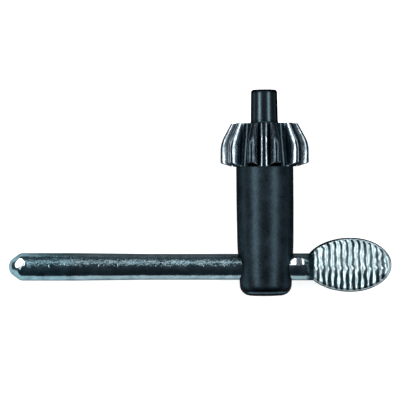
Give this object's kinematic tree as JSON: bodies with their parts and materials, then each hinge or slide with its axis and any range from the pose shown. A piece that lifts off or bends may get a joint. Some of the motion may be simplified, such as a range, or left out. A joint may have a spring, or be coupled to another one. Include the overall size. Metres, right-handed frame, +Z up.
{
  "type": "drill chuck key",
  "caption": "Drill chuck key with a plain pilot, a straight bevel pinion, a round barrel and a cross handle that ends in a serrated oval thumb tab.",
  "frame": {"origin": "middle of the bounding box's floor, on the flat surface that the key lies on", "axes": "+X along the cross handle towards its thumb tab, as seen from above; +Y along the body towards its pilot, as seen from above; +Z up, away from the surface that the key lies on"},
  "size_m": [0.0916, 0.0498, 0.0212],
  "materials": {
    "black_oxide_steel": "black oxide over machined steel, semi-gloss",
    "bright_plated_steel": "bright plating over drawn steel, lightly mottled, glossy"
  },
  "bodies": {
    "root": {"key_body": "black_oxide_steel", "cross_handle": "bright_plated_steel"}
  },
  "joints": []
}
